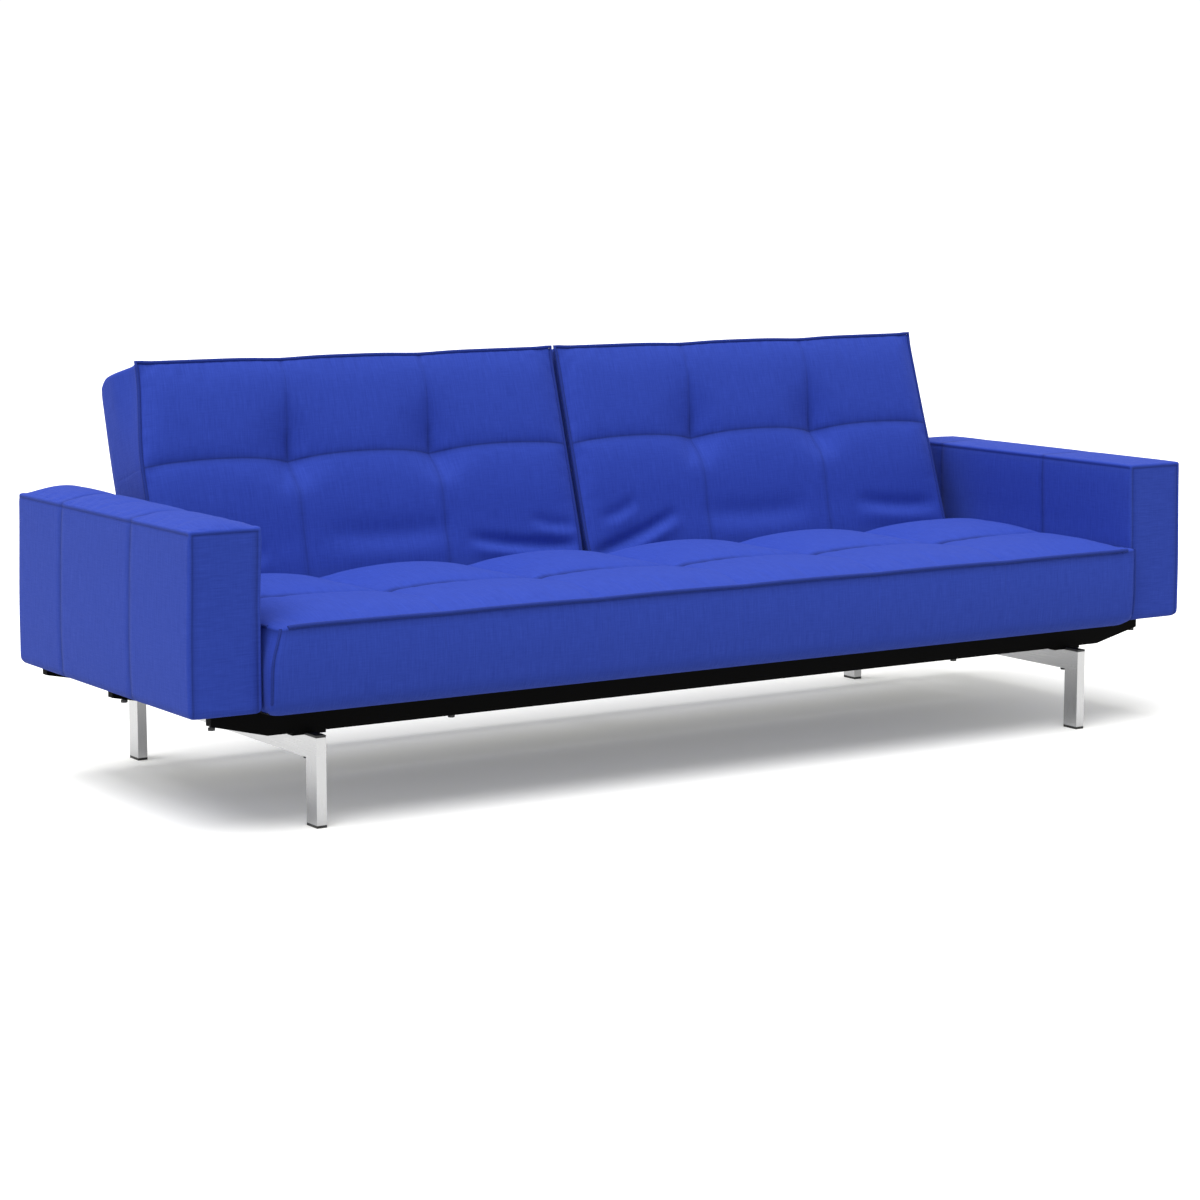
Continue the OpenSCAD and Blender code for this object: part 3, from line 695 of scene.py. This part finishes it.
    def sewn(self, grid, low, high, uprights, cross):
        """Where the cover is sewn or held down."""
        x, y, z = grid.T
        (on_left, on_right), (on_front, on_rear), (on_foot, on_top) = sides_of(grid, low, high)
        hold = np.where(on_top, 0.0, 0.9)
        hold = np.where(on_front & (z > low.z + 0.03), 0.6, hold)
        edge = on_left | on_right | on_front | on_rear
        on_cross = nearest(y, [cross]) < NEAR
        on_upright = nearest(x, uprights) < NEAR
        hold = np.where(on_top & on_upright & (y > cross), 0.9, hold)
        hold = np.where(on_top & on_cross, 0.7, hold)
        hold = np.where(on_top & (edge | (on_cross & on_upright)), 1.0, hold)
        return np.where(on_foot, 1.0, hold)

    def pipe(self, grid, points, low, high, radius):
        """Runs piping along the front's top edge, back along the sides, and down the front's corners."""
        inwards, sunk = 0.0008, 0.0006
        front = edge_line(grid, points, {1: low.y, 2: high.z}, 0, (0, inwards, -sunk))
        left = edge_line(grid, points, {0: low.x, 2: high.z}, 1, (inwards, 0, -sunk))[::-1]
        right = edge_line(grid, points, {0: high.x, 2: high.z}, 1, (-inwards, 0, -sunk))
        made = piping_run("seat_front_piping", front[2:-2], radius, "base")
        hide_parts("seat_piping")
        piping_run("seat_left_piping", left[:-3], radius * 0.8, "base")
        piping_run("seat_right_piping", right[3:], radius * 0.8, "base")
        for side, x in zip(SIDES, (low.x, high.x)):
            corner = edge_line(grid, points, {0: x, 1: low.y}, 2, (-inwards * np.sign(x), inwards, 0))
            piping_run(f"seat_{side}_corner_piping", corner[2:], radius * 0.72, "base")


# ---------------------------------------------------------------- backs

# Where the backs crease above the seat: start, end (across the sofa, up the back), depth and width
FOLDS = {
    "left": (
        ((-0.28, 0.124), (-0.012, 0.092), 0.016, 0.011),
        ((-0.13, 0.155), (-0.012, 0.134), 0.007, 0.010),
        ((-0.60, 0.152), (-0.30, 0.148), 0.006, 0.024),
        ((-0.93, 0.136), (-0.72, 0.122), 0.008, 0.015)),
    "right": (
        ((0.012, 0.064), (0.25, 0.146), 0.015, 0.011),
        ((0.05, 0.142), (0.15, 0.178), 0.007, 0.011),
        ((0.30, 0.140), (0.60, 0.136), 0.006, 0.024),
        ((0.72, 0.142), (0.958, 0.122), 0.0095, 0.015))}

# On a back that lies flat, where the rest pads end under its rear, and how far the rear is held still
PADS_END = 0.41
REAR_HELD_TO = 0.42


class SOFA_OT_backs(bpy.types.Operator):
    """Makes the two tufted back cushions and their piping"""

    bl_idname = "sofa.backs"
    bl_label = "Back cushions"

    def execute(self, context):
        for side in SIDES:
            self.make(context.scene, side)
        return {"FINISHED"}

    def lying_box(self, side):
        """The back's box when it lies flat, from its CAD cover."""
        flat = TO_SITTING.inverted()
        node = frame["nodes"][side + "_back_cover"]
        points = np.array([flat @ v.co for v in node.data.vertices])
        return Vector(points.min(0)), Vector(points.max(0))

    def make(self, scene, side):
        settings, cloth = scene.sofa_back, scene.sofa_cloth
        low, high = self.lying_box(side)
        out = OUTWARDS[side]
        uprights = sorted((out * settings.inner, out * settings.outer))
        cross = high.y - settings.seam
        places = (seam_cuts(uprights), seam_cuts([cross]), [])
        made = mesh_object(side + "_back_cushion", grid_box(low, high, places, cloth.cell, turned=(0,)))
        grid = read_points(made.data)
        points = self.outline(grid, low, high)
        x, y, z = grid.T
        on_face = sides_of(grid, low, high)[2][1]
        up_back = y - HINGE.y
        height, shift, seam = self.face(x, up_back, low, high, uprights, cross - HINGE.y, settings.tuft)
        inside = arc(np.minimum(x - low.x, high.x - x), 0.06)
        full = settings.puff * 0.5 * inside * arc(high.y - y, 0.05)
        points[:, 2] += np.where(on_face, height * inside - full, 0)
        points[:, 1] += np.where(on_face, shift, 0)
        for end, way in ((low.x, -1), (high.x, 1)):
            ear = 0.002 if way == out else 0.0025
            pinch(points, (end, high.y, high.z), (way * ear, 0.0025, 0.002), 0.014)
        self.taper(side, points, x, z, up_back, low, high)
        hold = self.sewn(grid, low, high, uprights, cross)
        points = swell(made, points, hold, pressure=3.2, travel=settings.puff)
        for crease in FOLDS[side]:
            points[:, 2] += np.where(on_face, self.fold(x, up_back, *crease) * np.minimum(1, inside * 2), 0)
        flat = points.copy()
        points = np.array([TO_SITTING @ Vector(p) for p in points])
        write_points(made.data, points)
        # The seam attribute holds the face's painted shade.
        set_attribute(made.data, "seam", np.where(on_face, seam, 1))
        add_subdivision(made)
        upholstered(made, "back_" + side, side + "_back_cover", side + "_back_core", fill=0.8)
        self.pipe(side, grid, flat, low, high, cloth.piping)

    def outline(self, grid, low, high):
        """The box with its edges rounded and its rear a little full past the rest pads."""
        points = grid.copy()
        for ends, radius in (((1, -1), 0.05), ((-1, -1), 0.026), ((-1, 1), 0.038)):
            round_edge(points, 1, 2, low, high, ends, radius)
        for end in (-1, 1):
            round_edge(points, 0, 1, low, high, (end, -1), 0.02)
            round_edge(points, 0, 2, low, high, (end, -1), 0.018)
        y = grid[:, 1]
        on_back = sides_of(grid, low, high)[2][0]
        belly = np.sin(math.pi * np.clip((y - PADS_END) / (high.y - PADS_END), 0, 1)) * (y > PADS_END)
        points[:, 2] -= np.where(on_back, 0.008 * belly, 0)
        return points

    def taper(self, side, points, x, z, up_back, low, high):
        """Draws the face in towards the top at its outer end, and moves its inner end nearer the gap."""
        out = OUTWARDS[side]
        outer = (out * x - abs(low.x + high.x) / 2) / (high.x - low.x) * 2
        at_face = ease((z - HINGE.z - 0.01) / 0.085)
        if side == "left":
            drawn = 0.018 * ease((up_back - 0.30) / 0.22) - 0.002 * bump(up_back - 0.3, 0.15)
        else:
            drawn = profile(up_back, ((0, 0), (0.1, 0.004), (0.325, 0.013), (0.513, 0.018)))
        points[:, 0] -= out * np.clip(outer, 0, 1) * at_face * drawn
        points[:, 0] -= out * np.clip(-outer, 0, 1) * 0.0045 * ease((up_back - 0.02) / 0.1)

    def face(self, x, y, low, high, uprights, cross, tuft):
        """The padding's height over the piped edge, the cross seam's sag, and the painted shade on the sewn lines
        as on the seat.
        """
        aside = nearest(x, uprights)
        top = high.y - HINGE.y
        up = y - cross
        above = ease(up / 0.012 + 0.5)
        height = profile(y, (
            (low.y - HINGE.y, 0), (0.0, -0.004), (0.06, -0.006), (0.085, -0.003), (0.108, 0.0),
            (0.138, 0.0015), (0.175, 0.006), (0.215, 0.011), (0.26, 0.013),
            (cross - 0.02, 0.0115), (cross, 0.010), (cross + 0.03, 0.012),
            (0.40, 0.0135), (0.455, 0.0125), (0.49, 0.009), (top, 0)))
        leftward = nearest(x + 0.012, uprights)
        hollow = above * (0.65 * bump(leftward, 0.055) + 0.35 * bump(aside, 0.018)) * bump(up, 0.07)
        hollow += (1 - above) * (0.65 * bump(aside, 0.055) + 0.35 * bump(aside, 0.02)) * bump(up, 0.032)
        height -= tuft * hollow
        upright = bump(aside, 0.006) * (above * (0.0001 + 0.0044 * bump(up, 0.07)) + (1 - above) * 0.0009)
        height -= upright + 0.0016 * bump(up + 0.001, 0.0035) - 0.0006 * bump(up - 0.007, 0.004)
        shift = 0.009 * arc(np.minimum(aside, np.minimum(x - low.x, high.x - x)), 0.16) * bump(up, 0.06)
        shift -= 0.003 * bump(aside, 0.06) * bump(top - y, 0.03)
        # Painted shade along the upright seams, most near the cross seam, and along the cross seam.
        near = bump(aside, SEAM_SHADE_WIDTH) * (above * (0.25 + 0.6 * bump(up, 0.07)) + (1 - above) * 0.5)
        return height, shift, 1 - np.maximum(near, bump(up, 0.0018))

    def sewn(self, grid, low, high, uprights, cross):
        """Where the cover is sewn or held down."""
        x, y, _ = grid.T
        (on_left, on_right), (on_foot, on_top), (on_back, on_face) = sides_of(grid, low, high)
        hold = np.where(on_face, 0.0, 0.9)
        edge = on_left | on_right | on_foot | on_top
        on_cross = nearest(y, [cross]) < NEAR
        on_upright = nearest(x, uprights) < NEAR
        hold = np.where(on_face & on_upright, 0.1 + 0.5 * bump(y - cross, 0.05), hold)
        hold = np.where(on_face & on_cross, 0.45, hold)
        hold = np.where(on_back & (y < REAR_HELD_TO), 1.0, hold)
        return np.where(on_face & (edge | (on_cross & on_upright)), 1.0, hold)

    def fold(self, x, y, start, end, depth, width):
        """One soft crease with a lip below it, from start to end, thinning out at both."""
        way = np.subtract(end, start)
        long = np.hypot(*way)
        way /= long
        along = ((x - start[0]) * way[0] + (y - start[1]) * way[1]) / long
        across = (y - start[1]) * way[0] - (x - start[0]) * way[1]
        across += 0.006 * np.sin(math.pi * np.clip(along, 0, 1))
        thin = np.clip(1 - np.abs(2 * along - 1) ** 3, 0, 1)
        return thin * depth * (0.55 * bump(across + 1.7 * width, 1.3 * width) - bump(across, width))

    def pipe(self, side, grid, flat, low, high, radius):
        """Runs piping along the top edge and down both sides of the face."""
        sunk = 0.0008
        top = edge_line(grid, flat, {1: high.y, 2: high.z}, 0, (0, -sunk, -sunk))
        left = edge_line(grid, flat, {0: low.x, 2: high.z}, 1, (sunk, 0, -sunk))
        right = edge_line(grid, flat, {0: high.x, 2: high.z}, 1, (-sunk, 0, -sunk))[::-1]
        run = np.vstack([left[3:-1], top, right[1:-3]])
        run = np.array([TO_SITTING @ Vector(p) for p in run])
        made = piping_run(side + "_back_face_piping", run, radius, "back_" + side)
        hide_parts(side + "_back_piping")


# ---------------------------------------------------------------- arms

# How much further back the front and the rear seam are on each arm, and how full its top is
SEAMS_BEHIND = {"left": (0, 0), "right": (0.038, 0.075)}
ARM_FULLNESS = {"left": 1, "right": 0.4}
# The heights, by the seat's top, from which an arm's inner side fills out and leans
FILLS_FROM = 0.415
LEANS_FROM = 0.405


class SOFA_OT_arms(bpy.types.Operator):
    """Makes the two padded box arms and their raised seams"""

    bl_idname = "sofa.arms"
    bl_label = "Arms"

    def execute(self, context):
        for side in SIDES:
            self.make(context.scene, side)
        return {"FINISHED"}

    def make(self, scene, side):
        settings, cloth = scene.sofa_arms, scene.sofa_cloth
        low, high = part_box(side + "_arm_cover")
        front, rear = SEAMS_BEHIND[side]
        seams = [low.y + settings.front_seam + front, low.y + settings.rear_seam + rear]
        edge = settings.fold
        lines = [seam_cuts((low[i] + edge, high[i] - edge), 0.003) for i in range(3)]
        places = (lines[0], seam_cuts(seams) + lines[1], lines[2][3:])
        made = mesh_object(side + "_arm_padding", grid_box(low, high, places, cloth.cell, turned=(1,)))
        grid = read_points(made.data)
        points = self.outline(grid, low, high, OUTWARDS[side])
        aside = nearest(grid[:, 1], seams)
        on_cloth = self.pad(side, grid, points, low, high, aside, edge, settings.crown)
        seam = self.edge_seams(grid, points, low, high, edge)
        points = swell(made, points, self.sewn(grid, low, high, seams, seam), pressure=2.4, travel=0.005)
        # Painted shade along the front and rear seams on the top and sides.
        seam = np.minimum(seam, 1 - 0.8 * bump(aside, SEAM_SHADE_WIDTH) * on_cloth)
        write_points(made.data, points)
        set_attribute(made.data, "seam", seam)
        add_subdivision(made)
        upholstered(made, "base", side + "_arm_cover", fill=0.95)

    def pad(self, side, grid, points, low, high, aside, edge, crown):
        """Fills the arm's top and sides between the seams, and says which points are on them."""
        out = OUTWARDS[side]
        x, y, z = grid.T
        (on_left, on_right), _, (_, on_top) = sides_of(grid, low, high)
        inner, outer = (on_left, on_right) if out > 0 else (on_right, on_left)
        across = np.sin(math.pi * np.clip((x - low.x) / (high.x - low.x), 0, 1))
        ends = arc(np.minimum(y - low.y, high.y - y) - edge, 0.06)
        crown = crown * (0.8 + 0.4 * ease((y - low.y) / (high.y - low.y))) * ARM_FULLNESS[side]
        rise = across * ends * (crown - 0.003 * bump(aside, 0.03) - 0.0012 * bump(aside, 0.005))
        points[:, 2] += np.where(on_top, rise, 0)
        belly = np.sin(math.pi * np.clip((y - low.y) / (high.y - low.y), 0, 1)) ** 0.5
        open_side = ease((z - FILLS_FROM) / 0.05) * ease((high.z - edge - z) / 0.04)
        full = 0.001 * belly * open_side - 0.0014 * bump(aside, 0.006)
        points[:, 0] -= np.where(inner, out * full, 0)
        wide = 0.003 * belly * arc(np.minimum(z - low.z, high.z - edge - z), 0.1)
        wide -= 0.0016 * bump(aside, 0.006)
        points[:, 0] += np.where(outer, out * wide, 0)
        away = np.clip((x - (low.x + high.x) / 2) / (high.x - low.x) * 2 * out, -1, 1)
        points[:, 0] += out * np.clip(away, 0, 1) * 0.005 * ease((high.z - z) / 0.25)
        points[:, 0] -= out * np.clip(-away, 0, 1) * 0.004 * ease((z - LEANS_FROM) / 0.14)
        return on_top | inner | outer

    def outline(self, grid, low, high, out):
        """The box with its edges rounded, most of all along its outer bottom edge."""
        points = grid.copy()
        for end in (-1, 1):
            round_edge(points, 0, 2, low, high, (end, -1), 0.013 if end == out else 0.010)
            round_edge(points, 0, 2, low, high, (end, 1), 0.004)
            round_edge(points, 1, 2, low, high, (end, -1), 0.010)
            round_edge(points, 1, 2, low, high, (end, 1), 0.004)
            for across in (-1, 1):
                round_edge(points, 0, 1, low, high, (across, end), 0.004)
        return points

    def edge_seams(self, grid, points, low, high, edge):
        """Sinks the sewn line inside the edges of the ends and along the tops of the sides.

        Gives the painted shade in the sewn line: 1, and less on the line.
        """
        x, _, z = grid.T
        (on_left, on_right), (on_front, on_rear), _ = sides_of(grid, low, high)
        on_end = on_front | on_rear
        on_side = (on_left | on_right) & ~on_end
        width = 0.0028
        to_side = np.minimum(x - low.x, high.x - x)
        to_line = np.minimum(np.abs(to_side - edge), np.abs(high.z - z - edge))
        outside = edge - np.minimum(to_side, high.z - z)
        groove = bump(to_line, width) * (outside < 1e-4)
        points[:, 1] += np.where(on_end, 0.0028 * groove * np.where(on_front, 1, -1), 0)
        under = bump(high.z - z - edge, width)
        points[:, 0] += np.where(on_side, 0.0026 * under * np.where(on_left, 1, -1), 0)
        # The groove and the line under the top edge get painted shade.
        return 1 - np.where(on_end, groove, 0) * 0.75 - np.where(on_side, under, 0) * 0.75

    def sewn(self, grid, low, high, seams, seam):
        """Where the cover is sewn or held down; the left arm's top is softer."""
        sides = sides_of(grid, low, high)
        on_foot, on_top = sides[2]
        on_edge = np.sum([at_low | at_high for at_low, at_high in sides], axis=0) > 1
        hold = np.where(on_top & (grid[:, 0] < 0), 0.1, 0.75)
        return np.where(on_edge | (nearest(grid[:, 1], seams) < NEAR) | on_foot | (seam < 0.6), 1.0, hold)


# ---------------------------------------------------------------- frame and stage

class SOFA_OT_frame_finishes(bpy.types.Operator):
    """Gives every part of the frame its finish"""

    bl_idname = "sofa.frame_finishes"
    bl_label = "Frame finishes"

    def execute(self, context):
        for part in frame["record"]["subparts"]:
            node = frame["nodes"][part["node"]]
            node.data.materials.clear()
            node.data.materials.append(finish(part["material_slot"]))
        return {"FINISHED"}


class SOFA_OT_stage(bpy.types.Operator):
    """Sets the floor, the studio light and the camera"""

    bl_idname = "sofa.stage"
    bl_label = "Stage"

    def execute(self, context):
        self.floor()
        self.light(context.scene)
        self.camera(context.scene)
        return {"FINISHED"}

    def floor(self):
        """A plain pale floor with a faint painted glow, warm-tinted, that lightens the shadows on it, and that
        throws back less light than it shows.
        """
        bm = bmesh.new()
        bmesh.ops.create_grid(bm, x_segments=1, y_segments=1, size=30)
        made = mesh_object("floor", bm)
        paint, nodes, shader = new_material("Studio floor")
        white = nodes.mix(nodes.grain(300.0)["Patches"], (0.92, 0.92, 0.92, 1), (0.94, 0.94, 0.94, 1))
        bounce = nodes.add("ShaderNodeLightPath").outputs["Is Diffuse Ray"]
        nodes.feed(shader, {
            "Base Color": nodes.mix(bounce, white, (0.38, 0.38, 0.38, 1)),
            "Roughness": 0.7,
            "Specular IOR Level": 0.1,
            # The glow is painted light; its warm tint offsets the blue light in the floor's shadow.
            "Emission Color": (1, 0.985, 0.76, 1),
            "Emission Strength": 0.17})
        made.data.materials.append(paint)

    def light(self, scene):
        """A white room lit softly from all round, and a broad light high on the left."""
        scene.view_settings.view_transform = "Standard"
        world = bpy.data.worlds.new("White studio")
        world.use_nodes = True
        nodes = Nodes(world.node_tree)
        soft = world.node_tree.nodes["Background"]
        nodes.feed(soft, {"Color": (1, 1, 1, 1), "Strength": 0.70})
        backdrop = nodes.add("ShaderNodeBackground", {"Color": (1, 1, 1, 1), "Strength": 1.05})
        seen = nodes.add("ShaderNodeLightPath").outputs["Is Camera Ray"]
        mixed = nodes.add("ShaderNodeMixShader", {0: seen, 1: soft.outputs[0], 2: backdrop.outputs[0]})
        nodes.feed(world.node_tree.nodes["World Output"], {"Surface": mixed.outputs[0]})
        scene.world = world
        lamp = bpy.data.lights.new("key", "SUN")
        lamp.energy = 3.35
        lamp.angle = math.radians(55)
        made = bpy.data.objects.new("key", lamp)
        made.location = (-1.4, -0.4, 4.0)
        made.rotation_euler = (-Vector((-0.22, -0.10, 0.65))).to_track_quat("-Z", "Y").to_euler()
        scene.collection.objects.link(made)

    def camera(self, scene):
        """The view from the front left, a little above the arms."""
        lens = bpy.data.cameras.new("view")
        lens.lens = 92.43
        lens.sensor_width = 36
        made = bpy.data.objects.new("view", lens)
        made.location = (-3.440, -5.201, 1.181)
        made.rotation_euler = (math.radians(81.95), 0, math.radians(-33.04))
        scene.collection.objects.link(made)
        scene.camera = made


class SOFA_PT_panel(bpy.types.Panel):
    """Lists the sofa bed's sizes and the steps that build it"""

    bl_label = "Sofa bed"
    bl_space_type = "VIEW_3D"
    bl_region_type = "UI"
    bl_category = "Sofa bed"

    def draw(self, context):
        scene = context.scene
        for settings, group in SETTINGS.items():
            column = self.layout.column(align=True)
            for name in group.__annotations__:
                column.prop(getattr(scene, settings), name)
        for step in STEPS:
            self.layout.operator(step.bl_idname)


STEPS = (SOFA_OT_stage, SOFA_OT_frame_finishes, SOFA_OT_seat, SOFA_OT_backs, SOFA_OT_arms)
SETTINGS = {"sofa_seat": SofaSeat, "sofa_back": SofaBack, "sofa_arms": SofaArms, "sofa_cloth": SofaCloth}
CLASSES = (*SETTINGS.values(), *STEPS, SOFA_PT_panel)


def register():
    """Adds the settings, steps and panel."""
    for cls in CLASSES:
        bpy.utils.register_class(cls)
    for name, group in SETTINGS.items():
        setattr(bpy.types.Scene, name, bpy.props.PointerProperty(type=group))


def unregister():
    """Takes the settings, steps and panel away again."""
    for name in SETTINGS:
        delattr(bpy.types.Scene, name)
    for cls in reversed(CLASSES):
        bpy.utils.unregister_class(cls)


def main():
    """Builds everything."""
    register()
    bpy.ops.sofa.stage()
    bpy.ops.sofa.frame_finishes()
    bpy.ops.sofa.seat()
    bpy.ops.sofa.backs()
    bpy.ops.sofa.arms()
    bpy.context.view_layer.update()


if __name__ == "__main__":
    main()
